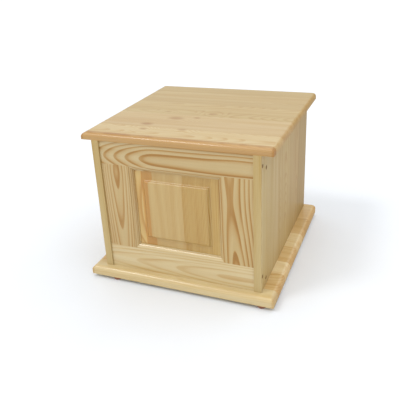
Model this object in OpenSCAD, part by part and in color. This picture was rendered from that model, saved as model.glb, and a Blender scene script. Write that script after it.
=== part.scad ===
// Wooden toy box: a pine carcass with a framed front, a moulded base board and a
// rear-hinged lid that a folding stay holds open.
// Origin: centre of the footprint, on the floor. +X right, +Y to the back, +Z up.

/* [Carcass] */
// Width over the two side panels
body_w = 460; // [430:5:520]
// Depth of the side panels
body_d = 535; // [500:5:600]
// Height of the side panels
body_h = 380; // [360:5:420]
// Thickness of the side panels
side_t = 20; // [18:1:22]

/* [Lid] */
// Thickness of the lid board
lid_t = 18; // [18:1:24]
// How far the lid stands past each side panel
lid_side_overhang = 30; // [15:1:35]
// How far the lid stands past the front edges of the side panels
lid_front_overhang = 0; // [0:1:25]
// How far the lid's back edge sits in from the back of the side panels
lid_back_setback = 20; // [14:1:24]
// Radius of the rounded upper edge of the lid
lid_nose_r = 11; // [6:1:14]

/* [Base] */
// Thickness of the base board
base_t = 25; // [24:1:34]
// How far the base stands past each side panel
base_side_overhang = 38; // [25:1:45]
// How far the base stands past the front edges of the side panels
base_front_overhang = 22; // [15:1:40]
// How far the base stands past the back of the side panels
base_back_overhang = 10; // [0:1:15]
// Radius of the rounded upper edge of the base
base_nose_r = 12; // [6:1:16]

/* [Front frame] */
// How far the front frame sits back from the edges of the side panels
frame_recess = 4; // [2:1:8]
// Thickness of the rails and stiles
frame_t = 20; // [19:1:22]
// Height of the top rail
top_rail_h = 65; // [55:1:80]
// Height of the bottom rail
bottom_rail_h = 70; // [60:1:80]
// Width of each stile
stile_w = 80; // [60:1:90]
// Width of the moulding round the panel opening
mould_w = 13; // [11:0.5:15]

/* [Raised panel] */
// Width of the flat margin round the raised field
margin_w = 20; // [14:1:26]
// Width of the curved step up to the field
step_w = 13; // [10:1:14]
// Height of the raised field over the margin
field_rise = 8.2; // [5:0.1:8.2]

/* [Feet] */
// Height of each foot
foot_h = 10; // [8:1:14]
// Radius of each foot
foot_r = 12; // [10:1:14]
// Distance from the base's left end to the middle of the left feet
foot_left_inset = 75; // [30:1:90]
// Distance from the base's right end to the middle of the right feet
foot_right_inset = 35; // [30:1:90]

/* [Hinges and stay] */
// Length of each hinge
hinge_l = 70; // [60:5:80]
// Distance from the middle of the box to the middle of each hinge
hinge_x = 125; // [110:5:140]
// Radius of the hinge pins
pin_r = 1.6; // [1.5:0.1:1.8]
// Centre distance of the stay arm that turns on the side panel
lower_arm_l = 160; // [158:1:162]
// Centre distance of the stay arm that turns on the lid
upper_arm_l = 116; // [114:1:118]

/* [Hidden] */

// Clearances
touch_gap = 0.1; // between pieces of one body that must not overlap
run_gap = 0.05; // radial, round a pin or rivet that turns
move_gap = 0.5; // between pieces that pass each other
over = 1; // how far a cut reaches past the face it opens

// Heights and places of the boards
base_top = foot_h + base_t;
lid_z = base_top + body_h;
half_w = body_w / 2;
inner_x = half_w - side_t;
base_half_w = half_w + base_side_overhang;
lid_half_w = half_w + lid_side_overhang;
base_back_y = (body_d + base_front_overhang + base_back_overhang) / 2;
base_front_y = -base_back_y;
back_y = base_back_y - base_back_overhang;
front_y = base_front_y + base_front_overhang;
lid_front_y = front_y - lid_front_overhang;
lid_back_y = back_y - lid_back_setback;

// Front frame: face plane, panel groove and opening
frame_y = front_y + frame_recess;
groove_inset = 10;
groove_y = frame_y + groove_inset;
groove_t = 7;
groove_d = mould_w - 1;
stile_x = inner_x - stile_w;
rail_low = base_top + bottom_rail_h;
rail_high = lid_z - top_rail_h;
sight_x = stile_x - mould_w;
sight_low = rail_low + mould_w;
sight_high = rail_high - mould_w;
panel_slack = 2;

// The moulding: from its outer edge a quirk, a thumb and a fillet round the panel
quirk_d = 1;
thumb_d = 6;
fillet_w = 3;
fillet_d = 8;
thumb_w = mould_w - fillet_w;
thumb_r = (pow(thumb_w, 2) + pow(thumb_d, 2)) / (2 * thumb_d);

// Back: rails, and a panel in grooves
back_rail_t = 20;
back_rail_h = 60;
back_rail_y = lid_back_y - back_rail_t;
back_panel_t = 9;
back_groove_d = 8;
back_panel_slack = 1;
back_groove_inset = 5;
back_groove_y = back_rail_y + back_groove_inset;
back_low = base_top + back_rail_h;
back_high = lid_z - back_rail_h;

// Battens behind the front frame, and cleats along the base
batten_y = frame_y + frame_t;
batten_w = 36;
batten_h = 50;
cleat_s = 20;
cleat_end_gap = 4;
cleat_front_y = batten_y + batten_w + cleat_end_gap;
cleat_back_y = back_rail_y - cleat_end_gap;

// Screws through the side panels into each rail and each batten, with caps over their heads
side_screw_r = 2.6;
side_screw_l = 52;
side_head_r = 4.8;
side_head_t = 1.5;
cap_r = 5.4;
cap_depth = 1.4;
cap_recess = 3.2;
cap_proud = 1;
rail_screw_inset = 8;
batten_screw_inset = 21;
rail_screw_y = frame_y + rail_screw_inset;
batten_screw_y = batten_y + batten_screw_inset;
rail_screw_z = [base_top + 44, lid_z - 30];
batten_screw_z = [base_top + 20, lid_z - 46];
side_screw_places = concat([for (z = rail_screw_z) [rail_screw_y, z]],
    [for (z = batten_screw_z) [batten_screw_y, z]]);

// Wood screws with countersunk heads
wood_screw_r = 1.6;
wood_head_r = 3.2;
slot_l = 3.8;
slot_w = 0.8;
slot_d = 1;
screw_end_gap = 2;
base_screw_l = 58;
base_screw_y = spread(front_y, back_y, 60, 4);
cleat_screw_l = cleat_s + 16;
cleat_screw_y = spread(cleat_front_y, cleat_back_y, 50, 3);

// Feet
foot_front_inset = 15;
foot_back_inset = 50;
foot_left_x = foot_left_inset - base_half_w;
foot_right_x = base_half_w - foot_right_inset;
foot_front_y = base_front_y + foot_front_inset;
foot_back_y = base_back_y - foot_back_inset;
foot_rim_r = 2;
foot_screw_l = 22;
foot_screw_z = 3;

// Lid battens
lid_batten_w = 40;
lid_batten_t = 18;
lid_batten_x = 150;
lid_batten_front_gap = 28;
lid_batten_back_gap = 33;
lid_batten_front_y = batten_y + batten_w + lid_batten_front_gap;
lid_batten_back_y = back_rail_y - lid_batten_back_gap;
lid_batten_screw_l = lid_batten_t + 12;
lid_batten_screw_y = spread(lid_batten_front_y, lid_batten_back_y, 40, 4);

// Hinges: the axis runs along X at the joint between back rail and lid
knuckle_r = 3.4;
knuckle_stand_off = 0.6;
axis_y = lid_back_y + knuckle_r + knuckle_stand_off;
axis_z = lid_z;
leaf_t = 1.4;
leaf_w = 26;
leaf_recess = 1.5;
leaf_end_y = axis_y - leaf_w;
knuckle_count = 5;
knuckle_gap = 0.4;
knuckle_pitch = hinge_l / knuckle_count;
hinge_screw_l = 14.5;
hinge_screw_x = spread(-hinge_l / 2, hinge_l / 2, 10, 3);
hinge_screw_y = leaf_end_y + 10;
pin_head_r = 2.6;
pin_head_t = 1.2;

// Folding stay, on the inner face of the right side panel
arm_w = 11;
arm_t = 2;
eye_r = 7;
rivet_r = 2.5;
rivet_head_r = 4.5;
rivet_head_t = 1.2;
collar_r = 3.5;
knee_head_t = 0.8;
side_plate_x = inner_x - arm_t;
lower_arm_x = side_plate_x - arm_t - 1;
upper_arm_x = lower_arm_x - arm_t - 2;
bracket_x = upper_arm_x - arm_t - 1;
stay_screw_l = 15;
side_pivot = [axis_y - 60, axis_z - 100];
lid_pivot = [axis_y - 160, axis_z - 16];
pivot_span = norm(lid_pivot - side_pivot);
pivot_dir = (lid_pivot - side_pivot) / pivot_span;
knee_along = (pow(lower_arm_l, 2) - pow(upper_arm_l, 2) + pow(pivot_span, 2)) / (2 * pivot_span);
knee_off = sqrt(pow(lower_arm_l, 2) - pow(knee_along, 2));
knee = side_pivot + knee_along * pivot_dir + knee_off * [-pivot_dir[1], pivot_dir[0]];
side_plate_w = 18;
side_plate_h = 56;
side_plate_screw_z = [-20, 20];
bracket_flange_w = 24;
bracket_cheek_w = 24;
bracket_cheek_drop = 8;
bracket_l = 60;
bracket_screw_y = [-20, 20];

wood = "burlywood";
metal = "goldenrod";
steel = "silver";
brown = "saddlebrown";

// Places for count screws between two ends, the outer ones inset from them
function spread(low, high, inset, count) =
    [for (k = [0:count - 1]) low + inset + k * (high - low - 2 * inset) / (count - 1)];

// ---- Shapes that repeat ----

// A box from its lowest corner to its highest corner
module block(low, high) {
    translate(low) cube(high - low);
}

// A rod along X from x0 to x1, through the point [y, z]
module rod_x(x0, x1, place, r) {
    translate([x0, place[0], place[1]])
        rotate([0, 90, 0])
            cylinder(r = r, h = x1 - x0, $fn = 48);
}

// What a rounded edge takes off a board's section, at its top left corner
module nose_waste(edge, top, r, flip) {
    translate([edge, top])
        mirror([flip ? 1 : 0, 0])
            difference() {
                translate([-over, -r]) square([r + over, r + over]);
                translate([r, -r]) circle(r = r, $fn = 96);
            }
}

// A board's section from low to high, with one or both upper edges rounded
module nosed_section(low, high, thick, r, both_edges) {
    difference() {
        translate([low, 0]) square([high - low, thick]);
        nose_waste(low, thick, r, false);
        if (both_edges) nose_waste(high, thick, r, true);
    }
}

// A board rounded along its front and both ends, with mitred corners; square at the back
module nosed_board(half, low_y, high_y, z, thick, r) {
    intersection() {
        translate([0, high_y, z])
            rotate([90, 0, 0])
                linear_extrude(high_y - low_y)
                    nosed_section(-half, half, thick, r, true);
        translate([-half, 0, z])
            rotate([90, 0, 90])
                linear_extrude(2 * half)
                    nosed_section(low_y, high_y, thick, r, false);
    }
}

// What the moulding takes off the frame's section: all of it between low and high, and the
// quirk, thumb and fillet on both sides. Its first axis runs across the opening, its second
// into the wood.
module mouth_section(low, high) {
    translate([low, -over]) square([high - low, groove_inset + over]);
    for (side = [0, 1])
        translate([side == 0 ? low : high, 0])
            mirror([side == 0 ? 1 : 0, 0]) {
                translate([-over, -over]) square([fillet_w + over, fillet_d + over]);
                difference() {
                    translate([fillet_w, -over]) square([thumb_w, quirk_d + thumb_d + over]);
                    translate([mould_w, quirk_d + thumb_r]) circle(r = thumb_r, $fn = 128);
                }
            }
}

// The mouth of the panel opening, mitred where its sides meet
module panel_mouth() {
    past = 2 * mould_w;
    intersection() {
        translate([0, frame_y, sight_low - past])
            linear_extrude(sight_high - sight_low + 2 * past)
                mouth_section(-sight_x, sight_x);
        translate([-sight_x - past, frame_y, 0])
            rotate([90, 0, 90])
                linear_extrude(2 * sight_x + 2 * past)
                    mirror([1, -1]) mouth_section(sight_low, sight_high);
    }
}

// The groove round the opening that the panel's edge lies in
module panel_groove() {
    block([-sight_x - groove_d, groove_y, sight_low - groove_d],
        [sight_x + groove_d, groove_y + groove_t, sight_high + groove_d]);
}

// A rail or stile, from the outline of its face; its moulded edge is mitred at both ends
module frame_member(outline) {
    difference() {
        translate([0, frame_y + frame_t, 0])
            rotate([90, 0, 0])
                linear_extrude(frame_t)
                    polygon(outline);
        panel_groove();
        panel_mouth();
    }
}

// An S-shaped step, w wide and h high, rising to the right
module ogee(w, h) {
    r = (pow(w / 2, 2) + pow(h / 2, 2)) / h;
    difference() {
        square([w / 2, h / 2]);
        translate([0, r]) circle(r = r, $fn = 96);
    }
    intersection() {
        translate([w / 2, 0]) square([w / 2, h]);
        translate([w, h - r]) circle(r = r, $fn = 96);
    }
}

// The raised panel's section: a tongue at each edge and a field between two ogee steps.
// Its first axis runs across the panel, its second out of its back face.
module raised_section(low, high, edge) {
    tongue_t = groove_t - 2 * touch_gap;
    translate([low - edge, 0]) square([high - low + 2 * edge, tongue_t]);
    for (side = [0, 1])
        translate([side == 0 ? low + margin_w : high - margin_w, tongue_t])
            mirror([side, 0])
                ogee(step_w, field_rise);
    translate([low + margin_w + step_w, tongue_t])
        square([high - low - 2 * (margin_w + step_w), field_rise]);
}

// The outside of a countersunk wood screw along -Z, with its head's flat at the origin
module screw_body(length, gap) {
    head_h = wood_head_r - wood_screw_r;
    translate([0, 0, -length])
        cylinder(r = wood_screw_r + gap, h = length, $fn = 32);
    translate([0, 0, -head_h])
        cylinder(r1 = wood_screw_r + gap, r2 = wood_head_r + gap, h = head_h, $fn = 32);
}

// A wood screw with a cross recess in its head
module wood_screw(length) {
    difference() {
        screw_body(length, 0);
        for (turn = [0, 90])
            rotate([0, 0, turn])
                translate([-slot_l / 2, -slot_w / 2, -slot_d])
                    cube([slot_l, slot_w, slot_d + over]);
    }
}

// The waste for that screw: its outside with touch_gap all round, open upwards
module wood_screw_hole(length) {
    screw_body(length + touch_gap, touch_gap);
    cylinder(r = wood_head_r + touch_gap, h = over, $fn = 32);
}

// ---- Carcass ----

module base_board() {
    color(wood)
        difference() {
            nosed_board(base_half_w, base_front_y, base_back_y, foot_h, base_t, base_nose_r);
            for (side = [-1, 1], y = base_screw_y)
                translate([side * (inner_x + side_t / 2), y, foot_h])
                    mirror([0, 0, 1]) wood_screw_hole(base_screw_l);
            for (side = [-1, 1], y = cleat_screw_y)
                translate([side * (inner_x - cleat_s / 2), y, base_top + cleat_s])
                    wood_screw_hole(cleat_screw_l + screw_end_gap);
            for (x = [foot_left_x, foot_right_x], y = [foot_front_y, foot_back_y])
                translate([x, y, foot_screw_z])
                    mirror([0, 0, 1]) wood_screw_hole(foot_screw_l + screw_end_gap);
        }
}

// side is -1 for the left panel and 1 for the right one
module side_panel(side) {
    color(wood)
        mirror([side < 0 ? 1 : 0, 0, 0])
            difference() {
                block([inner_x, front_y, base_top], [half_w, back_y, lid_z]);
                block([inner_x - over, back_groove_y, back_low - back_groove_d],
                    [inner_x + back_groove_d, back_groove_y + back_panel_t, back_high + back_groove_d]);
                for (place = side_screw_places) {
                    rod_x(inner_x - over, half_w, place, side_screw_r + touch_gap);
                    rod_x(half_w - cap_recess, half_w + over, place, cap_r + touch_gap);
                }
                for (y = base_screw_y)
                    translate([inner_x + side_t / 2, y, foot_h])
                        mirror([0, 0, 1]) wood_screw_hole(base_screw_l + screw_end_gap);
                if (side > 0) stay_side_holes();
            }
}

// Holes for the side screws in what lies between the side panels
module side_screw_holes(y) {
    for (side = [-1, 1], place = side_screw_places)
        if (place[0] == y)
            mirror([side < 0 ? 1 : 0, 0, 0])
                rod_x(half_w - cap_recess - side_screw_l - screw_end_gap, inner_x + over, place,
                    side_screw_r + touch_gap);
}

module front_top_rail() {
    color(wood)
        difference() {
            frame_member([[-inner_x, rail_high], [-stile_x, rail_high], [-sight_x, sight_high],
                [sight_x, sight_high], [stile_x, rail_high], [inner_x, rail_high],
                [inner_x, lid_z], [-inner_x, lid_z]]);
            side_screw_holes(rail_screw_y);
        }
}

module front_bottom_rail() {
    color(wood)
        difference() {
            frame_member([[-inner_x, base_top], [inner_x, base_top], [inner_x, rail_low],
                [stile_x, rail_low], [sight_x, sight_low], [-sight_x, sight_low],
                [-stile_x, rail_low], [-inner_x, rail_low]]);
            side_screw_holes(rail_screw_y);
        }
}

// A stile stands between the rails
module front_stile(side) {
    color(wood)
        mirror([side < 0 ? 1 : 0, 0, 0])
            frame_member([[stile_x, rail_low], [inner_x, rail_low], [inner_x, rail_high],
                [stile_x, rail_high], [sight_x, sight_high], [sight_x, sight_low]]);
}

module front_raised_panel() {
    edge = groove_d - panel_slack;
    color(wood)
        intersection() {
            translate([0, groove_y + groove_t - touch_gap, sight_low - edge])
                linear_extrude(sight_high - sight_low + 2 * edge)
                    mirror([0, 1]) raised_section(-sight_x, sight_x, edge);
            translate([-sight_x - edge, groove_y + groove_t - touch_gap, 0])
                rotate([90, 0, 90])
                    linear_extrude(2 * sight_x + 2 * edge)
                        mirror([1, 0]) mirror([1, -1])
                            raised_section(sight_low, sight_high, edge);
        }
}

// A batten across the inside of the front, from low_z up
module front_batten(low_z) {
    color(wood)
        difference() {
            block([-inner_x, batten_y, low_z], [inner_x, batten_y + batten_w, low_z + batten_h]);
            side_screw_holes(batten_screw_y);
        }
}

module back_top_rail() {
    color(wood)
        difference() {
            block([-inner_x, back_rail_y, back_high], [inner_x, lid_back_y, lid_z]);
            block([-inner_x - over, back_groove_y, back_high - over],
                [inner_x + over, back_groove_y + back_panel_t, back_high + back_groove_d]);
            for (side = [-1, 1]) {
                leaf_mortise(side, -1);
                hinge_screw_holes(side, -1);
            }
        }
}

module back_bottom_rail() {
    color(wood)
        difference() {
            block([-inner_x, back_rail_y, base_top], [inner_x, lid_back_y, back_low]);
            block([-inner_x - over, back_groove_y, back_low - back_groove_d],
                [inner_x + over, back_groove_y + back_panel_t, back_low + over]);
        }
}

module back_panel() {
    reach = back_groove_d - back_panel_slack;
    color(wood)
        block([-inner_x - reach, back_groove_y + touch_gap, back_low - reach],
            [inner_x + reach, back_groove_y + back_panel_t - touch_gap, back_high + reach]);
}

module base_cleat(side) {
    color(wood)
        mirror([side < 0 ? 1 : 0, 0, 0])
            difference() {
                block([inner_x - cleat_s, cleat_front_y, base_top],
                    [inner_x, cleat_back_y, base_top + cleat_s]);
                for (y = cleat_screw_y)
                    translate([inner_x - cleat_s / 2, y, base_top + cleat_s])
                        wood_screw_hole(cleat_screw_l + screw_end_gap);
            }
}

// A screw with a flat head at the bottom of each cap's recess
module side_screws(side) {
    head_x = half_w - cap_recess + touch_gap;
    color(steel)
        mirror([side < 0 ? 1 : 0, 0, 0])
            for (place = side_screw_places) {
                rod_x(head_x - side_screw_l, head_x + side_head_t, place, side_screw_r);
                rod_x(head_x, head_x + side_head_t, place, side_head_r);
            }
}

// A disc with a low domed face over each side screw
module screw_caps(side) {
    dome_r = (pow(cap_r, 2) + pow(cap_proud, 2)) / (2 * cap_proud);
    color(brown)
        mirror([side < 0 ? 1 : 0, 0, 0])
            for (place = side_screw_places)
                translate([half_w, place[0], place[1]])
                    rotate([0, 90, 0])
                        rotate_extrude($fn = 64) {
                            translate([0, -cap_depth]) square([cap_r, cap_depth]);
                            intersection() {
                                square([cap_r, cap_proud]);
                                translate([0, cap_proud - dome_r]) circle(r = dome_r, $fn = 256);
                            }
                        }
}

module base_screws() {
    color(steel)
        for (side = [-1, 1], y = base_screw_y)
            translate([side * (inner_x + side_t / 2), y, foot_h + touch_gap])
                mirror([0, 0, 1]) wood_screw(base_screw_l);
}

module cleat_screws() {
    color(steel)
        for (side = [-1, 1], y = cleat_screw_y)
            translate([side * (inner_x - cleat_s / 2), y, base_top + cleat_s - touch_gap])
                wood_screw(cleat_screw_l);
}

// A glide with a rounded rim; x and y are its centre
module foot(x, y) {
    rim = foot_rim_r;
    color(brown)
        translate([x, y, 0])
            difference() {
                rotate_extrude($fn = 96) {
                    square([foot_r - rim, foot_h]);
                    translate([0, rim]) square([foot_r, foot_h - rim]);
                    translate([foot_r - rim, rim]) circle(r = rim, $fn = 32);
                }
                translate([0, 0, foot_screw_z]) mirror([0, 0, 1]) wood_screw_hole(foot_screw_l);
                translate([0, 0, -over])
                    cylinder(r = wood_head_r + move_gap, h = foot_screw_z + over, $fn = 32);
            }
}

module foot_screws() {
    color(steel)
        for (x = [foot_left_x, foot_right_x], y = [foot_front_y, foot_back_y])
            translate([x, y, foot_screw_z + touch_gap])
                mirror([0, 0, 1]) wood_screw(foot_screw_l);
}

// ---- Hinges ----

// The recess that a leaf lies in: below the joint for level -1, above it for level 1
module leaf_mortise(side, level) {
    low_z = level < 0 ? lid_z - leaf_recess : lid_z - over;
    high_z = level < 0 ? lid_z + over : lid_z + leaf_recess;
    block([side * hinge_x - hinge_l / 2 - touch_gap, leaf_end_y - touch_gap, low_z],
        [side * hinge_x + hinge_l / 2 + touch_gap, lid_back_y + over, high_z]);
}

module hinge_screw_holes(side, level) {
    for (dx = hinge_screw_x)
        translate([side * hinge_x + dx, hinge_screw_y, lid_z + level * (leaf_recess - leaf_t)])
            mirror([0, 0, level > 0 ? 1 : 0])
                wood_screw_hole(hinge_screw_l + screw_end_gap);
}

// One leaf with the knuckles at the given places along the hinge
module hinge_leaf(side, level, knuckles) {
    flat_z = level < 0 ? lid_z - leaf_recess : lid_z + leaf_recess - leaf_t;
    color(metal)
        difference() {
            union() {
                block([side * hinge_x - hinge_l / 2, leaf_end_y, flat_z],
                    [side * hinge_x + hinge_l / 2, axis_y - knuckle_r - move_gap, flat_z + leaf_t]);
                for (k = knuckles)
                    translate([side * hinge_x + (k - knuckle_count / 2) * knuckle_pitch, 0, 0]) {
                        block([knuckle_gap / 2, axis_y - knuckle_r - move_gap - over, flat_z],
                            [knuckle_pitch - knuckle_gap / 2, axis_y, flat_z + leaf_t]);
                        rod_x(knuckle_gap / 2, knuckle_pitch - knuckle_gap / 2, [axis_y, axis_z],
                            knuckle_r);
                    }
            }
            rod_x(side * hinge_x - hinge_l, side * hinge_x + hinge_l, [axis_y, axis_z], pin_r + run_gap);
            hinge_screw_holes(side, level);
        }
}

module hinge_pin(side) {
    half = hinge_l / 2;
    color(metal)
        translate([side * hinge_x, 0, 0]) {
            rod_x(-half - pin_head_t, half + pin_head_t, [axis_y, axis_z], pin_r);
            rod_x(-half - pin_head_t, -half, [axis_y, axis_z], pin_head_r);
            rod_x(half, half + pin_head_t, [axis_y, axis_z], pin_head_r);
        }
}

module hinge_screws(level) {
    color(metal)
        for (side = [-1, 1], dx = hinge_screw_x)
            translate([side * hinge_x + dx, hinge_screw_y,
                lid_z + level * (leaf_recess - leaf_t + touch_gap)])
                mirror([0, 0, level > 0 ? 1 : 0])
                    wood_screw(hinge_screw_l);
}

// ---- Folding stay ----

// A flat bar with a round eye at each end, between two points of the side plane
module stay_arm(x, from, to) {
    run = to - from;
    color(steel)
        difference() {
            union() {
                rod_x(x, x + arm_t, from, eye_r);
                rod_x(x, x + arm_t, to, eye_r);
                translate([x, from[0], from[1]])
                    rotate([atan2(run[1], run[0]), 0, 0])
                        translate([0, 0, -arm_w / 2])
                            cube([arm_t, norm(run), arm_w]);
            }
            rod_x(x - over, x + arm_t + over, from, rivet_r + run_gap);
            rod_x(x - over, x + arm_t + over, to, rivet_r + run_gap);
        }
}

module stay_side_holes() {
    for (dz = side_plate_screw_z)
        translate([side_plate_x, side_pivot[0], side_pivot[1] + dz])
            rotate([0, -90, 0])
                wood_screw_hole(stay_screw_l + screw_end_gap);
    rod_x(side_plate_x, inner_x + rivet_head_t + touch_gap, side_pivot, rivet_head_r + touch_gap);
}

module stay_side_plate() {
    half = side_plate_h / 2;
    color(steel)
        difference() {
            block([side_plate_x, side_pivot[0] - side_plate_w / 2, side_pivot[1] - half],
                [inner_x, side_pivot[0] + side_plate_w / 2, side_pivot[1] + half]);
            for (dz = side_plate_screw_z)
                translate([side_plate_x, side_pivot[0], side_pivot[1] + dz])
                    rotate([0, -90, 0])
                        wood_screw_hole(stay_screw_l + screw_end_gap);
            rod_x(side_plate_x - over, inner_x + over, side_pivot, rivet_r + touch_gap);
        }
}

module stay_side_screws() {
    color(steel)
        for (dz = side_plate_screw_z)
            translate([side_plate_x + touch_gap, side_pivot[0], side_pivot[1] + dz])
                rotate([0, -90, 0])
                    wood_screw(stay_screw_l);
}

module stay_side_rivet() {
    color(steel) {
        rod_x(lower_arm_x - rivet_head_t, inner_x + rivet_head_t, side_pivot, rivet_r);
        rod_x(lower_arm_x - rivet_head_t, lower_arm_x - run_gap, side_pivot, rivet_head_r);
        rod_x(lower_arm_x + arm_t + run_gap, side_plate_x - touch_gap, side_pivot, collar_r);
        rod_x(inner_x + touch_gap, inner_x + rivet_head_t, side_pivot, rivet_head_r);
    }
}

module stay_lid_bracket() {
    cheek_low = lid_pivot[1] - bracket_cheek_drop;
    color(steel)
        difference() {
            union() {
                block([bracket_x + arm_t - bracket_flange_w, lid_pivot[0] - bracket_l / 2, lid_z - arm_t],
                    [bracket_x + arm_t, lid_pivot[0] + bracket_l / 2, lid_z]);
                block([bracket_x, lid_pivot[0] - bracket_cheek_w / 2, cheek_low],
                    [bracket_x + arm_t, lid_pivot[0] + bracket_cheek_w / 2, lid_z]);
            }
            bracket_screw_holes();
            rod_x(bracket_x - over, bracket_x + arm_t + over, lid_pivot, rivet_r + touch_gap);
        }
}

module bracket_screw_holes() {
    for (dy = bracket_screw_y)
        translate([bracket_x + arm_t - bracket_flange_w / 2, lid_pivot[0] + dy, lid_z - arm_t])
            mirror([0, 0, 1]) wood_screw_hole(stay_screw_l + screw_end_gap);
}

module stay_lid_screws() {
    color(steel)
        for (dy = bracket_screw_y)
            translate([bracket_x + arm_t - bracket_flange_w / 2, lid_pivot[0] + dy,
                lid_z - arm_t + touch_gap])
                mirror([0, 0, 1]) wood_screw(stay_screw_l);
}

module stay_lid_rivet() {
    color(steel) {
        rod_x(bracket_x - rivet_head_t, upper_arm_x + arm_t + rivet_head_t, lid_pivot, rivet_r);
        rod_x(bracket_x - rivet_head_t, bracket_x - touch_gap, lid_pivot, rivet_head_r);
        rod_x(bracket_x + arm_t + touch_gap, upper_arm_x - run_gap, lid_pivot, collar_r);
        rod_x(upper_arm_x + arm_t + run_gap, upper_arm_x + arm_t + rivet_head_t, lid_pivot, rivet_head_r);
    }
}

module stay_lower_arm() {
    stay_arm(lower_arm_x, side_pivot, knee);
}

// The knee's two halves: a stud on the lower arm and a cap on the upper arm
module stay_knee_rivet() {
    color(steel) {
        rod_x(lower_arm_x - rivet_head_t, lower_arm_x + arm_t + knee_head_t, knee, rivet_r);
        rod_x(lower_arm_x + arm_t + touch_gap, lower_arm_x + arm_t + knee_head_t, knee, rivet_head_r);
        rod_x(lower_arm_x - rivet_head_t, lower_arm_x - touch_gap, knee, collar_r);
    }
}

module stay_upper_arm() {
    stay_arm(upper_arm_x, lid_pivot, knee);
}

module stay_knee_cap() {
    color(steel) {
        rod_x(upper_arm_x - rivet_head_t, upper_arm_x + arm_t, knee, rivet_r);
        rod_x(upper_arm_x - rivet_head_t, upper_arm_x - touch_gap, knee, rivet_head_r);
    }
}

// ---- Lid ----

module lid_board() {
    color(wood)
        difference() {
            nosed_board(lid_half_w, lid_front_y, lid_back_y, lid_z, lid_t, lid_nose_r);
            for (side = [-1, 1]) {
                leaf_mortise(side, 1);
                hinge_screw_holes(side, 1);
                lid_batten_screw_holes(side);
            }
            bracket_screw_holes();
        }
}

module lid_batten_screw_holes(side) {
    for (y = lid_batten_screw_y)
        translate([side * lid_batten_x, y, lid_z - lid_batten_t])
            mirror([0, 0, 1]) wood_screw_hole(lid_batten_screw_l + screw_end_gap);
}

module lid_batten(side) {
    color(wood)
        difference() {
            block([side * lid_batten_x - lid_batten_w / 2, lid_batten_front_y, lid_z - lid_batten_t],
                [side * lid_batten_x + lid_batten_w / 2, lid_batten_back_y, lid_z]);
            lid_batten_screw_holes(side);
        }
}

module lid_batten_screws() {
    color(steel)
        for (side = [-1, 1], y = lid_batten_screw_y)
            translate([side * lid_batten_x, y, lid_z - lid_batten_t + touch_gap])
                mirror([0, 0, 1]) wood_screw(lid_batten_screw_l);
}

base_board();
side_panel(-1);  // side_panel_left
side_panel(1);  // side_panel_right
front_top_rail();
front_bottom_rail();
front_stile(-1);  // front_stile_left
front_stile(1);  // front_stile_right
front_raised_panel();
front_batten(batten_screw_z[1] - batten_h / 2);  // front_batten_top
front_batten(base_top);  // front_batten_bottom
back_top_rail();
back_bottom_rail();
back_panel();
base_cleat(-1);  // base_cleat_left
base_cleat(1);  // base_cleat_right
side_screws(-1);  // side_screws_left
side_screws(1);  // side_screws_right
screw_caps(-1);  // screw_caps_left
screw_caps(1);  // screw_caps_right
base_screws();
cleat_screws();
foot(foot_left_x, foot_front_y);  // foot_front_left
foot(foot_right_x, foot_front_y);  // foot_front_right
foot(foot_left_x, foot_back_y);  // foot_back_left
foot(foot_right_x, foot_back_y);  // foot_back_right
foot_screws();
hinge_leaf(-1, -1, [0, 2, 4]);  // hinge_rail_leaf_left
hinge_leaf(1, -1, [0, 2, 4]);  // hinge_rail_leaf_right
hinge_pin(-1);  // hinge_pin_left
hinge_pin(1);  // hinge_pin_right
hinge_screws(-1);  // hinge_rail_screws
stay_side_plate();
stay_side_screws();
stay_side_rivet();
lid_board();
lid_batten(-1);  // lid_batten_left
lid_batten(1);  // lid_batten_right
lid_batten_screws();
hinge_leaf(-1, 1, [1, 3]);  // hinge_lid_leaf_left
hinge_leaf(1, 1, [1, 3]);  // hinge_lid_leaf_right
hinge_screws(1);  // hinge_lid_screws
stay_lid_bracket();
stay_lid_screws();
stay_lid_rivet();
stay_lower_arm();
stay_knee_rivet();
stay_upper_arm();
stay_knee_cap();
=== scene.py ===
"""A wooden toy box: lacquered pine, a framed front, a moulded base, a hinged lid on a folding stay.

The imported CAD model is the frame. Its objects sit at the origin, so object coordinates are
metres in the row frame, and every wood here is a solid texture: rings round a pith, cut by
whatever face shows, with end grain where a board ends.
"""

import math
import random

import bpy
from mathutils import Matrix, Vector


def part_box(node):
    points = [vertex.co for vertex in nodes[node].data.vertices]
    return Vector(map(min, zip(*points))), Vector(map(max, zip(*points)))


# Camera: where it stands in the row frame (m), how it is turned (degrees), and its lens
CAMERA_PLACE = Vector((0.5441, -1.3884, 0.8666))
CAMERA_YAW = 23.80
CAMERA_PITCH = 23.42
CAMERA_ROLL = -3.295
CAMERA_LENS = 48.48
CAMERA_SENSOR = 36.0
CAMERA_SHIFT = (0.025, -0.05)

# Light
SKY_BASE = 0.60
SKY_GLOW = 0.50
SKY_GLOW_POWER = 1.4
SKY_GLOW_FROM = Vector((-0.10, -0.72, 0.69)).normalized()
# Lamps: name, strength, where the light comes from, angle across it (degrees)
LAMPS = [
    ("overhead", 1.03, Vector((0.24, 0.26, 0.94)), 70.0),
    ("window", 0.60, Vector((-0.42, -0.38, 0.82)), 14.0),
]
FLOOR_HALF = 30.0

# Eased edges: widths (m), segments, and the angle (degrees) from which an edge is eased
WOOD_EASE = 0.0011
METAL_EASE = 0.0002
EASE_SEGMENTS = 3
EASE_ANGLE = 40

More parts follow.
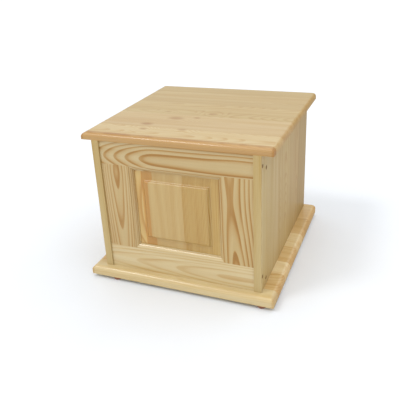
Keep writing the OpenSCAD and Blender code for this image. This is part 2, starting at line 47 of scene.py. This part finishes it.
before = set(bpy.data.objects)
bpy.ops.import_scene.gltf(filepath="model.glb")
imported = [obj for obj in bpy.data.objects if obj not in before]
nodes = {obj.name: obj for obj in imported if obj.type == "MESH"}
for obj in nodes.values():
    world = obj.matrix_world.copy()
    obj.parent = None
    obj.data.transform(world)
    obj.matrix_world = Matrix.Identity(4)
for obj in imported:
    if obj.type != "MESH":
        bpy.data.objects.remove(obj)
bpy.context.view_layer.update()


def srgb(red, green, blue):
    """A colour given as 0-255 sRGB, as linear RGBA."""
    return tuple(
        c / 12.92 if c <= 0.04045 else ((c + 0.055) / 1.055) ** 2.4
        for c in (red / 255, green / 255, blue / 255)
    ) + (1.0,)


class Graph:
    """A material's node graph, built from the surface backwards."""

    def __init__(self, name):
        self.material = bpy.data.materials.new(name)
        self.material.use_nodes = True
        tree = self.material.node_tree
        self.nodes = tree.nodes
        self.links = tree.links
        self.nodes.clear()
        self.surface = self.nodes.new("ShaderNodeBsdfPrincipled")
        output = self.nodes.new("ShaderNodeOutputMaterial")
        self.links.new(self.surface.outputs["BSDF"], output.inputs["Surface"])

    def put(self, socket, value):
        """Links an output to this input, or sets the input to a plain value."""
        if isinstance(value, bpy.types.NodeSocket):
            self.links.new(value, socket)
        else:
            socket.default_value = value

    def math(self, operation, *values):
        node = self.nodes.new("ShaderNodeMath")
        node.operation = operation
        for socket, value in zip(node.inputs, values):
            self.put(socket, value)
        return node.outputs[0]

    def add(self, *values):
        total = values[0]
        for value in values[1:]:
            total = self.math("ADD", total, value)
        return total

    def minus(self, first, second):
        return self.math("SUBTRACT", first, second)

    def times(self, first, second):
        return self.math("MULTIPLY", first, second)

    def length(self, first, second):
        """The length of a vector with these two parts."""
        return self.math("SQRT", self.add(self.times(first, first), self.times(second, second)))

    def stretched(self, parts, scales):
        """A vector of these parts, each times its scale."""
        return self.join(*(self.times(part, scale) for part, scale in zip(parts, scales)))

    def split(self, vector):
        node = self.nodes.new("ShaderNodeSeparateXYZ")
        self.links.new(vector, node.inputs[0])
        return dict(zip("xyz", node.outputs))

    def join(self, *values):
        node = self.nodes.new("ShaderNodeCombineXYZ")
        for socket, value in zip(node.inputs, values):
            self.put(socket, value)
        return node.outputs[0]

    def noise(self, vector, scale=1.0, detail=2.0, rough=0.5):
        """A noise around zero, about -0.5 to 0.5."""
        node = self.nodes.new("ShaderNodeTexNoise")
        self.links.new(vector, node.inputs["Vector"])
        node.inputs["Scale"].default_value = scale
        node.inputs["Detail"].default_value = detail
        node.inputs["Roughness"].default_value = rough
        return self.minus(node.outputs["Fac"], 0.5)

    def ramp(self, value, stops, interpolation="LINEAR"):
        """stops is a list of (place, linear RGBA)."""
        node = self.nodes.new("ShaderNodeValToRGB")
        node.color_ramp.interpolation = interpolation
        elements = node.color_ramp.elements
        elements[0].position, elements[0].color = stops[0]
        elements[1].position, elements[1].color = stops[-1]
        for place, colour in stops[1:-1]:
            elements.new(place).color = colour
        self.put(node.inputs[0], value)
        return node.outputs["Color"]

    def span(self, value, low, high, out_low=0.0, out_high=1.0):
        """value from low to high, mapped smoothly to out_low to out_high and held there."""
        node = self.nodes.new("ShaderNodeMapRange")
        node.interpolation_type = "SMOOTHSTEP"
        self.put(node.inputs["Value"], value)
        for key, number in zip(
            ("From Min", "From Max", "To Min", "To Max"), (low, high, out_low, out_high)
        ):
            node.inputs[key].default_value = number
        return node.outputs["Result"]

    def mix(self, amount, first, second, blend="MIX"):
        node = self.nodes.new("ShaderNodeMix")
        node.data_type = "RGBA"
        node.blend_type = blend
        self.put(node.inputs[0], amount)
        self.put(node.inputs[6], first)
        self.put(node.inputs[7], second)
        return node.outputs[2]

    def tinted(self, colour, tint):
        return self.mix(1.0, colour, tint, "MULTIPLY")

    def place(self):
        node = self.nodes.new("ShaderNodeTexCoord")
        return node.outputs["Object"]

    def finish(self, colour, roughness, height, bump_depth, bump_strength):
        bump = self.nodes.new("ShaderNodeBump")
        bump.inputs["Strength"].default_value = bump_strength
        bump.inputs["Distance"].default_value = bump_depth
        self.links.new(height, bump.inputs["Height"])
        self.links.new(bump.outputs["Normal"], self.surface.inputs["Normal"])
        self.put(self.surface.inputs["Base Color"], colour)
        self.put(self.surface.inputs["Roughness"], roughness)
        return self.material


# ---- Pine ----

PALE = srgb(201, 176, 126)
CREAM = srgb(208, 188, 145)
TAN = srgb(190, 145, 66)
LATE = srgb(168, 121, 42)
KNOT = srgb(150, 94, 8)
END_TINT = (0.86, 0.76, 0.66, 1.0)
# How dark a year's growth is, from its start to its end
GROWTH = [(0.0, 0.0), (0.28, 0.05), (0.58, 0.45), (0.76, 1.0), (0.93, 0.95), (1.0, 0.0)]
# Noises, per metre along the grain, across it and into the board
SWAY_SCALES = (3.2, 13.0, 13.0)
FIBRE_SCALES = (9.0, 620.0, 620.0)
BAND_SCALES = (2.2, 48.0, 48.0)
# How far a seed, and a board of its own, move the noises
SEED_SHIFT = (1.7, 0.9, 2.3)
BOARD_SHIFT = (37.0, 11.0, 1.3)
# How far the pith of a glued-in board rises and sinks along it (m), and how often per metre
PITH_SWAY = 0.11
PITH_SWAY_SCALE = 1.6
# Years are uneven by this many years, changing this often per year
UNEVEN_YEARS = 1.2
UNEVEN_SCALE = 0.2
# How much longer than wide a knot is, and how far and how much it bends the grain, in its radii
KNOT_LENGTH = 1.69
KNOT_REACH = 5
KNOT_PULL = 1.5
# Where a board's pith lies, where nothing else is said: its offset at most, and its depths (m)
PITH_OFFSET = 0.09
PITH_DEPTHS = (0.02, 0.12)
# Boards' piths lie this far (m) beyond the panel's edges at most
PITH_SPREAD = 0.3
# Soft edges (m): of a heartwood streak, of end grain from the board's end, of a dull back
HEART_EDGE = 0.001
END_GRAIN = (0.009, 0.002)
DULL_BACK = (0.003, 0.001)
# Lacquer
WOOD_ROUGHNESS = 0.38
DULL_ROUGHNESS = 0.35
COAT_WEIGHT = 0.5
COAT_ROUGHNESS = 0.11
COAT_IOR = 1.45
# Relief of the grain (m), and its strength
GRAIN_RELIEF = 0.00022
GRAIN_STRENGTH = 0.6


def board_cut(graph, across, start, boards, seed):
    """For a panel glued up from boards from start on, the tint of the board at hand, how strong
    its figure is, where its pith lies across and how deep, and a number of its own. A board is
    (width, tint) or (width, tint, offset of its pith, depth of its pith)."""
    draw = random.Random(seed)
    total = sum(board[0] for board in boards)
    pith_range = total + 2 * PITH_SPREAD
    tints = []
    cuts = []
    reached = 0.0
    for width, tint, *cut in boards:
        offset, depth = cut or (draw.uniform(-PITH_OFFSET, PITH_OFFSET), draw.uniform(*PITH_DEPTHS))
        centre = reached + width / 2 + offset
        share = reached / total
        tints.append((share, tint))
        cuts.append((share, ((centre + PITH_SPREAD) / pith_range, depth, draw.random(), 1.0)))
        reached += width
    place = graph.math("DIVIDE", graph.minus(across, start), total)
    tint = graph.ramp(place, tints, "CONSTANT")
    cut = graph.split(graph.ramp(place, cuts, "CONSTANT"))
    middle = graph.add(graph.times(cut["x"], pith_range), start - PITH_SPREAD)
    return tint, tint.node.outputs["Alpha"], middle, cut["y"], cut["z"]


def cathedral(graph, along, figure):
    """Where one board's pith lies across and how deep, as figure shapes it (see pine)."""
    centre, across, depth, low_slope, high_slope, bend, lean = figure
    run = graph.minus(along, centre)
    length = graph.math("SQRT", graph.add(graph.times(run, run), bend * bend))
    below = graph.minus(length, run)
    above = graph.add(length, run)
    pith_depth = graph.add(
        graph.times(below, low_slope / 2), graph.times(above, high_slope / 2), depth
    )
    return graph.add(graph.times(below, lean / 2), across), pith_depth


def bend_round_knots(graph, along, across, radius, knots):
    """The radius with the grain closing round each knot, and how near a knot is."""
    knot_near = 0.0
    for knot_along, knot_across, knot_radius, strength in knots:
        gap = graph.length(
            graph.times(graph.minus(along, knot_along), 1 / KNOT_LENGTH),
            graph.minus(across, knot_across),
        )
        pull = graph.span(gap, 0.0, knot_radius * KNOT_REACH, knot_radius * KNOT_PULL, 0.0)
        radius = graph.add(radius, pull)
        near = graph.span(gap, knot_radius * 0.3, knot_radius * 1.4, strength, 0.0)
        knot_near = graph.math("MAXIMUM", knot_near, near)
    return radius, knot_near


def heart_streak(graph, across, inner, heart, wood):
    """The wood with its streak of heartwood, as heart shapes it (see pine)."""
    low_edge, high_edge, slope, tint = heart
    moved = graph.minus(across, graph.times(inner, slope))
    inside = graph.times(
        graph.span(across, low_edge - HEART_EDGE, low_edge + HEART_EDGE),
        graph.span(moved, high_edge - HEART_EDGE, high_edge + HEART_EDGE, 1.0, 0.0),
    )
    return graph.mix(inside, wood, graph.tinted(wood, tint))


def pine(
    name,
    axes,
    face,
    inward,
    tone=(1.0, 1.0, 1.0),
    boards=None,
    start=0.0,
    figure=None,
    ring=0.0034,
    phase=0.0,
    wander=0.010,
    contrast=1.0,
    gloss=1.0,
    heart=None,
    ends=None,
    knots=(),
    seed=1,
):
    """Pine with its grain along axes[0], its show face spanned by axes[0] and axes[1], and its
    depth along axes[2], from face inward (1 or -1). tone tints all of it. A year is ring wide,
    phase shifts the years, slow noise moves them by about wander, and contrast is how strong
    they show. boards are glued side by side along axes[1], each with a phase of its own.
    figure = (along, across, depth, low_slope, high_slope, bend, lean) shapes one board's
    cathedral: at the place (along, across) the pith runs that deep, on either side it dips or
    rises by a slope, and below it moves sideways by lean. gloss scales the lacquer's shine.
    heart = (low, high, slope, tint) is a streak of heartwood from low to high across the face,
    its high side moving by slope for each unit of depth. ends = (low, high, thickness) are where
    the board ends along the grain and how thick it is: its end grain is dull and dark, and its
    back is dull. knots are (along, across, radius, strength)."""
    graph = Graph(name)
    parts = graph.split(graph.place())
    along, across, deep = (parts[a] for a in axes)
    inner = graph.times(graph.minus(deep, face), inward)
    grain_place = (along, across, inner)

    # The cut: where the pith lies
    tint = None
    strength = contrast
    if boards:
        tint, vivid, middle, pith_depth, phase = board_cut(graph, across, start, boards, seed)
        strength = graph.times(vivid, contrast)
        shift = graph.stretched((phase, middle, seed), BOARD_SHIFT)
        sway = graph.noise(graph.join(along, phase, seed), PITH_SWAY_SCALE, 1.0)
        pith_depth = graph.add(pith_depth, graph.times(sway, PITH_SWAY))
    else:
        shift = graph.join(*(seed * step for step in SEED_SHIFT))
        middle, pith_depth = cathedral(graph, along, figure)

    # Rings: distance from the pith, swayed by slow noise along the board
    moved = graph.nodes.new("ShaderNodeVectorMath")
    moved.operation = "ADD"
    graph.links.new(graph.stretched(grain_place, SWAY_SCALES), moved.inputs[0])
    graph.links.new(shift, moved.inputs[1])
    slow = graph.noise(moved.outputs[0], 1.0, 2.0, 0.45)
    radius = graph.length(graph.minus(across, middle), graph.add(pith_depth, inner))
    radius = graph.add(radius, graph.times(slow, wander))
    radius, knot_near = bend_round_knots(graph, along, across, radius, knots)
    years = graph.add(graph.math("DIVIDE", radius, ring), phase)
    uneven_place = graph.join(graph.times(radius, UNEVEN_SCALE / ring), phase, seed)
    years = graph.add(years, graph.times(graph.noise(uneven_place, 1.0, 1.0), UNEVEN_YEARS))
    growth = graph.ramp(
        graph.math("FRACT", years), [(place, (level,) * 3 + (1.0,)) for place, level in GROWTH]
    )

    # Fine fibre along the grain, and soft bands where the wood is denser
    fibre = graph.noise(graph.stretched(grain_place, FIBRE_SCALES), 1.0, 3.0, 0.6)
    band = graph.noise(graph.stretched(grain_place, BAND_SCALES))

    # Colour
    lateness = graph.times(growth, graph.span(band, -0.25, 0.25, 0.55, 1.0))
    shown = graph.times(lateness, strength)
    wood = graph.mix(graph.span(band, -0.22, 0.22), CREAM, PALE)
    wood = graph.mix(graph.times(shown, 0.85), wood, TAN)
    wood = graph.mix(graph.times(shown, graph.math("POWER", lateness, 1.2)), wood, LATE)
    streak = graph.span(fibre, -0.3, 0.3, 0.955, 1.035)
    wood = graph.tinted(wood, graph.join(streak, streak, streak))
    if tint is not None:
        wood = graph.tinted(wood, tint)
    if heart:
        wood = heart_streak(graph, across, inner, heart, wood)
    wood = graph.tinted(wood, (*tone, 1.0))
    if knots:
        wood = graph.mix(knot_near, wood, KNOT)

    # Lacquer
    roughness = graph.add(graph.times(fibre, 0.10), graph.times(lateness, -0.05), WOOD_ROUGHNESS)
    coat = min(1.0, COAT_WEIGHT * gloss)
    if ends:
        low_end, high_end, thickness = ends
        half = (high_end - low_end) / 2
        off_middle = graph.math("ABSOLUTE", graph.minus(along, (low_end + high_end) / 2))
        end_grain = graph.span(off_middle, half - END_GRAIN[0], half - END_GRAIN[1])
        wood = graph.mix(end_grain, wood, graph.tinted(wood, END_TINT))
        back = graph.span(inner, thickness - DULL_BACK[0], thickness - DULL_BACK[1])
        dull = graph.math("MAXIMUM", end_grain, back)
        roughness = graph.add(roughness, graph.times(dull, DULL_ROUGHNESS))
        coat = graph.span(dull, 0.0, 1.0, coat, 0.0)
    height = graph.add(graph.times(lateness, 0.5), graph.times(fibre, 0.6))
    graph.surface.inputs["Specular IOR Level"].default_value = 0.5 * min(gloss, 1.0)
    graph.put(graph.surface.inputs["Coat Weight"], coat)
    graph.surface.inputs["Coat Roughness"].default_value = COAT_ROUGHNESS
    graph.surface.inputs["Coat IOR"].default_value = COAT_IOR
    return graph.finish(wood, roughness, height, GRAIN_RELIEF, GRAIN_STRENGTH)


def dress(material, *names):
    """Gives these CAD nodes the material."""
    for name in names:
        node = nodes[name]
        node.data.materials.clear()
        node.data.materials.append(material)


def ease(width, *names):
    """Rounds the sharp edges of these CAD nodes a little, and shades them smoothly."""
    for name in names:
        bevel = nodes[name].modifiers.new("eased", "BEVEL")
        bevel.width = width
        bevel.segments = EASE_SEGMENTS
        bevel.limit_method = "ANGLE"
        bevel.angle_limit = math.radians(EASE_ANGLE)
        bevel.use_clamp_overlap = True
        bevel.harden_normals = True


def warm(value, yellow=0.0, red=0.0, vivid=1.0):
    """A tint near white: value is its brightness, yellow takes blue away, red takes green and blue.
    vivid is the strength of the board's figure."""
    return (value, value * (1 - red * 0.5), value * (1 - yellow - red), vivid)


# Boards from the front to the back, in the panel from left to right: see board_cut
LID_BOARDS = [
    (0.020, (0.84, 0.65, 0.44, 1.0), 0.0, 0.15),
    (0.030, warm(1.10, -0.05, -0.06)),
    (0.038, warm(1.10, -0.05, -0.07)),
    (0.073, warm(1.01, -0.05, 0.03)),
    (0.045, warm(1.03, -0.03)),
    (0.060, warm(0.94, 0.09, 0.03)),
    (0.054, warm(0.96, 0.08, 0.03)),
    (0.057, warm(0.91, 0.09, 0.06)),
    (0.068, warm(0.94, 0.10, 0.04)),
    (0.070, warm(0.90, 0.14, 0.05)),
]
BASE_BOARDS = [
    (0.044, (0.90, 0.92, 0.97, 0.4), 0.01, 0.20),
    (0.040, (0.92, 0.83, 0.72, 1.0)),
    (0.040, (0.97, 0.91, 0.85, 1.0)),
    (0.062, (1.12, 1.17, 1.33, 0.6)),
    (0.085, (1.00, 0.95, 0.91, 1.0)),
    (0.085, (1.09, 1.13, 1.26, 0.6)),
    (0.036, (0.95, 0.88, 0.81, 1.0)),
    (0.068, (0.89, 0.82, 0.72, 1.0)),
    (0.060, (0.94, 0.86, 0.78, 1.0)),
    (0.047, (0.94, 0.89, 0.84, 1.0)),
]
# Side boards from the front to the back: their tints darken towards the back boards as painted
# shade, where less light falls on the sides
SIDE_BOARDS_PAINTED_SHADE = [
    (0.052, (1.02, 1.04, 1.04, 1.0)),
    (0.066, (0.98, 0.98, 0.97, 1.0)),
    (0.056, (0.99, 0.99, 1.01, 1.0)),
    (0.064, (0.95, 0.92, 0.88, 1.0)),
    (0.060, (0.96, 0.93, 0.88, 1.0)),
    (0.054, (0.90, 0.85, 0.78, 1.0)),
    (0.064, (0.90, 0.84, 0.77, 1.0)),
    (0.060, (0.81, 0.75, 0.65, 1.0)),
    (0.059, (0.79, 0.73, 0.64, 1.0)),
]
PANEL_BOARDS = [
    (0.029, warm(1.18, 0.10, 0.05)),
    (0.116, warm(1.03, 0.01, 0.01, 0.35), -0.14, 0.02),
    (0.078, warm(0.97, 0.18, 0.09), 0.12, 0.02),
    (0.031, warm(1.06, 0.18, 0.02, 0.7), 0.10, 0.05),
]
# Knots of the lid: how far right and back of its front left corner, radius (m), and strength
LID_KNOTS = [
    (0.140, 0.112, 0.011, 0.60),
    (0.150, 0.070, 0.007, 0.54),
    (0.198, 0.176, 0.014, 0.50),
    (0.255, 0.190, 0.006, 0.64),
    (0.255, 0.086, 0.008, 0.44),
    (0.285, 0.232, 0.008, 0.44),
    (0.150, 0.230, 0.006, 0.40),
]


def dress_wood():
    low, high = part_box("lid_board")
    knots = [(low.x + right, low.y + back, *knot) for right, back, *knot in LID_KNOTS]
    lid = pine(
        "pine_lid", "xyz", high.z, -1, (0.925, 0.89, 0.785), LID_BOARDS, low.y,
        contrast=0.40, ends=(low.x, high.x, high.z - low.z), knots=knots, seed=3,
    )
    dress(lid, "lid_board")

    low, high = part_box("base_board")
    base = pine(
        "pine_base", "xyz", high.z, -1, (1.16, 1.15, 1.06), BASE_BOARDS, low.y, ring=0.0060,
        contrast=0.35, ends=(low.x, high.x, high.z - low.z), seed=5,
    )
    dress(base, "base_board")

    low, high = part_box("side_panel_right")
    right = pine(
        "pine_side_right", "zyx", high.x, -1, (0.845, 0.81, 0.725), SIDE_BOARDS_PAINTED_SHADE, low.y,
        contrast=0.3, gloss=0.05, seed=7,
    )
    dress(right, "side_panel_right")
    low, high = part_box("side_panel_left")
    left = pine(
        "pine_side_left", "zyx", low.x, 1, (0.845, 0.81, 0.725), SIDE_BOARDS_PAINTED_SHADE, low.y,
        contrast=0.3, gloss=0.05, seed=8,
    )
    dress(left, "side_panel_left")

    low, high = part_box("front_top_rail")
    top = pine(
        "pine_top_rail", "xzy", low.y, 1, (0.87, 0.83, 0.725),
        figure=(low.x + 0.140, high.z - 0.041, 0.0315, 0.19, 0.0, 0.02, 0.0), ring=0.0070,
        phase=0.72, wander=0.009, contrast=1.4, seed=2,
    )
    dress(top, "front_top_rail")

    low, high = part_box("front_bottom_rail")
    bottom = pine(
        "pine_bottom_rail", "xzy", low.y, 1, (1.03, 1.05, 1.03),
        figure=(high.x - 0.085, low.z + 0.028, 0.030, 0.045, 0.0, 0.03, 0.0), ring=0.0060,
        phase=0.86, wander=0.009, contrast=0.42, gloss=2.0, seed=4,
    )
    dress(bottom, "front_bottom_rail")

    low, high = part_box("front_stile_left")
    left = pine(
        "pine_stile_left", "zxy", low.y, 1, (0.86, 0.80, 0.655),
        figure=(low.z + 0.225, low.x + 0.044, 0.030, 0.036, 0.036, 0.01, 0.0), ring=0.0046,
        phase=0.11, wander=0.004, contrast=1.0, seed=6,
    )
    dress(left, "front_stile_left")

    low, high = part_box("front_stile_right")
    right = pine(
        "pine_stile_right", "zxy", low.y, 1, (0.88, 0.835, 0.70),
        figure=(low.z + 0.175, high.x - 0.062, 0.032, -0.080, -0.06, 0.05, 0.08), ring=0.0088,
        phase=0.46, wander=0.005, contrast=1.15, seed=9,
    )
    dress(right, "front_stile_right")

    low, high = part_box("front_raised_panel")
    panel = pine(
        "pine_panel", "zxy", low.y, 1, (0.84, 0.75, 0.54), PANEL_BOARDS, low.x,
        ring=0.0034, contrast=0.85, heart=(-0.099, -0.077, 1.2, warm(0.95, 0.10, 0.46)), seed=12,
    )
    dress(panel, "front_raised_panel")

    for name, axes in {
        "front_batten_top": "xzy", "front_batten_bottom": "xzy", "back_top_rail": "xzy",
        "back_bottom_rail": "xzy", "back_panel": "zxy", "base_cleat_left": "yxz",
        "base_cleat_right": "yxz", "lid_batten_left": "yxz", "lid_batten_right": "yxz",
    }.items():
        low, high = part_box(name)
        index = "xyz".index(axes[1])
        middle = (low[index] + high[index]) / 2
        depth_index = "xyz".index(axes[2])
        inner = pine(
            "pine_" + name, axes, low[depth_index], 1, (0.90, 0.875, 0.79),
            figure=(0.0, middle + 0.02, 0.03, 0.02, 0.05, 0.1, 0.0), ring=0.0038, contrast=0.7,
            seed=len(name),
        )
        dress(inner, name)


def moulded_plastic():
    """Brown moulded plastic with a fine satin texture."""
    graph = Graph("cap_plastic")
    place = graph.place()
    cloud = graph.noise(place, 60.0, 3.0)
    grain = graph.noise(place, 2600.0, 2.0)
    colour = graph.mix(graph.span(cloud, -0.3, 0.3), srgb(112, 84, 42), srgb(132, 100, 54))
    roughness = graph.add(graph.times(grain, 0.25), 0.62)
    graph.surface.inputs["Specular IOR Level"].default_value = 0.15
    return graph.finish(colour, roughness, grain, 0.00005, 0.5)


def foot_plastic():
    """Reddish brown plastic, scuffed and dusty low down."""
    graph = Graph("foot_plastic")
    place = graph.place()
    cloud = graph.noise(place, 90.0, 4.0)
    grain = graph.noise(place, 1800.0, 2.0)
    scuff = graph.span(graph.split(place)["z"], 0.0, 0.004, 0.35, 0.0)
    colour = graph.mix(graph.span(cloud, -0.3, 0.3), srgb(122, 66, 40), srgb(146, 84, 54))
    colour = graph.mix(scuff, colour, srgb(170, 140, 112))
    roughness = graph.add(graph.times(cloud, 0.3), 0.5)
    return graph.finish(colour, roughness, grain, 0.00008, 0.5)


def metal(name, light, dark, roughness):
    """Sheet metal with a rolled grain, darker in its clouds."""
    graph = Graph(name)
    place = graph.place()
    parts = graph.split(place)
    rolled = graph.noise(graph.stretched(parts.values(), (90.0, 1500.0, 1500.0)))
    cloud = graph.noise(place, 55.0, 4.0)
    colour = graph.mix(graph.span(cloud, -0.25, 0.25), light, dark)
    rough = graph.add(graph.times(rolled, 0.22), graph.times(cloud, 0.15), roughness)
    graph.surface.inputs["Metallic"].default_value = 1.0
    return graph.finish(colour, rough, rolled, 0.00004, 0.4)


def dress_fittings():
    dress(moulded_plastic(), "screw_caps_left", "screw_caps_right")
    dress(foot_plastic(), *(n for n in nodes if n.startswith("foot_") and n != "foot_screws"))
    brass = metal("hinge_metal", srgb(214, 178, 110), srgb(180, 140, 78), 0.3)
    dress(brass, *(n for n in nodes if n.startswith("hinge_")))
    zinc = metal("steel", srgb(196, 198, 200), srgb(150, 152, 156), 0.34)
    screws = [n for n in nodes if "screws" in n and not n.startswith("hinge_")]
    dress(zinc, *screws, *(n for n in nodes if n.startswith("stay_") and n not in screws))


def floor():
    """A plain pale floor, part of the stage."""
    mesh = bpy.data.meshes.new("floor")
    corners = [(FLOOR_HALF * x, FLOOR_HALF * y, 0) for x, y in ((-1, -1), (1, -1), (1, 1), (-1, 1))]
    mesh.from_pydata(corners, [], [(0, 1, 2, 3)])
    plane = bpy.data.objects.new("floor", mesh)
    bpy.context.scene.collection.objects.link(plane)
    graph = Graph("pale_floor")
    mottle = graph.noise(graph.place(), 3.0, 3.0)
    colour = graph.mix(graph.span(mottle, -0.4, 0.4), srgb(232, 236, 241), srgb(235, 239, 244))
    mesh.materials.append(graph.finish(colour, 0.9, mottle, 0.0001, 0.1))


def sky():
    """A pale studio sky, brighter above the front."""
    world = bpy.data.worlds.new("sky")
    world.use_nodes = True
    tree = world.node_tree
    where = tree.nodes.new("ShaderNodeTexCoord")
    along = tree.nodes.new("ShaderNodeVectorMath")
    along.operation = "DOT_PRODUCT"
    along.inputs[1].default_value = SKY_GLOW_FROM
    tree.links.new(where.outputs["Generated"], along.inputs[0])
    level = along.outputs["Value"]
    for operation, number in (
        ("MAXIMUM", 0.0), ("POWER", SKY_GLOW_POWER), ("MULTIPLY", SKY_GLOW), ("ADD", SKY_BASE)
    ):
        step = tree.nodes.new("ShaderNodeMath")
        step.operation = operation
        tree.links.new(level, step.inputs[0])
        step.inputs[1].default_value = number
        level = step.outputs[0]
    tree.links.new(level, tree.nodes["Background"].inputs["Strength"])
    tree.nodes["Background"].inputs["Color"].default_value = (1.0, 1.0, 1.0, 1.0)
    bpy.context.scene.world = world


def lamps():
    for name, strength, source, angle in LAMPS:
        lamp = bpy.data.lights.new(name, "SUN")
        lamp.energy = strength
        lamp.angle = math.radians(angle)
        lit = bpy.data.objects.new(name, lamp)
        lit.rotation_euler = source.to_track_quat("Z", "Y").to_euler()
        bpy.context.scene.collection.objects.link(lit)


def camera():
    yaw, pitch, roll = (math.radians(a) for a in (CAMERA_YAW, CAMERA_PITCH, CAMERA_ROLL))
    level = Vector((math.cos(yaw), math.sin(yaw), 0.0))
    forward = Vector((-math.sin(yaw), math.cos(yaw), 0.0))
    ahead = math.cos(pitch) * forward - math.sin(pitch) * Vector((0.0, 0.0, 1.0))
    upright = level.cross(ahead)
    right = math.cos(roll) * level + math.sin(roll) * upright
    up = math.cos(roll) * upright - math.sin(roll) * level
    turn = Matrix((right, up, -ahead)).transposed()
    data = bpy.data.cameras.new("camera")
    data.lens = CAMERA_LENS
    data.sensor_width = CAMERA_SENSOR
    data.shift_x, data.shift_y = CAMERA_SHIFT
    data.clip_start = 0.01
    data.clip_end = 200.0
    eye = bpy.data.objects.new("camera", data)
    eye.matrix_world = Matrix.Translation(CAMERA_PLACE) @ turn.to_4x4()
    bpy.context.scene.collection.objects.link(eye)
    bpy.context.scene.camera = eye


dress_wood()
dress_fittings()
WOOD = [n for n in nodes if nodes[n].data.materials[0].name.startswith("pine")]
ease(WOOD_EASE, *WOOD)
ease(METAL_EASE, *(n for n in nodes if n not in WOOD and not n.endswith("screws")))
floor()
sky()
lamps()
camera()
bpy.context.scene.view_settings.view_transform = "Standard"
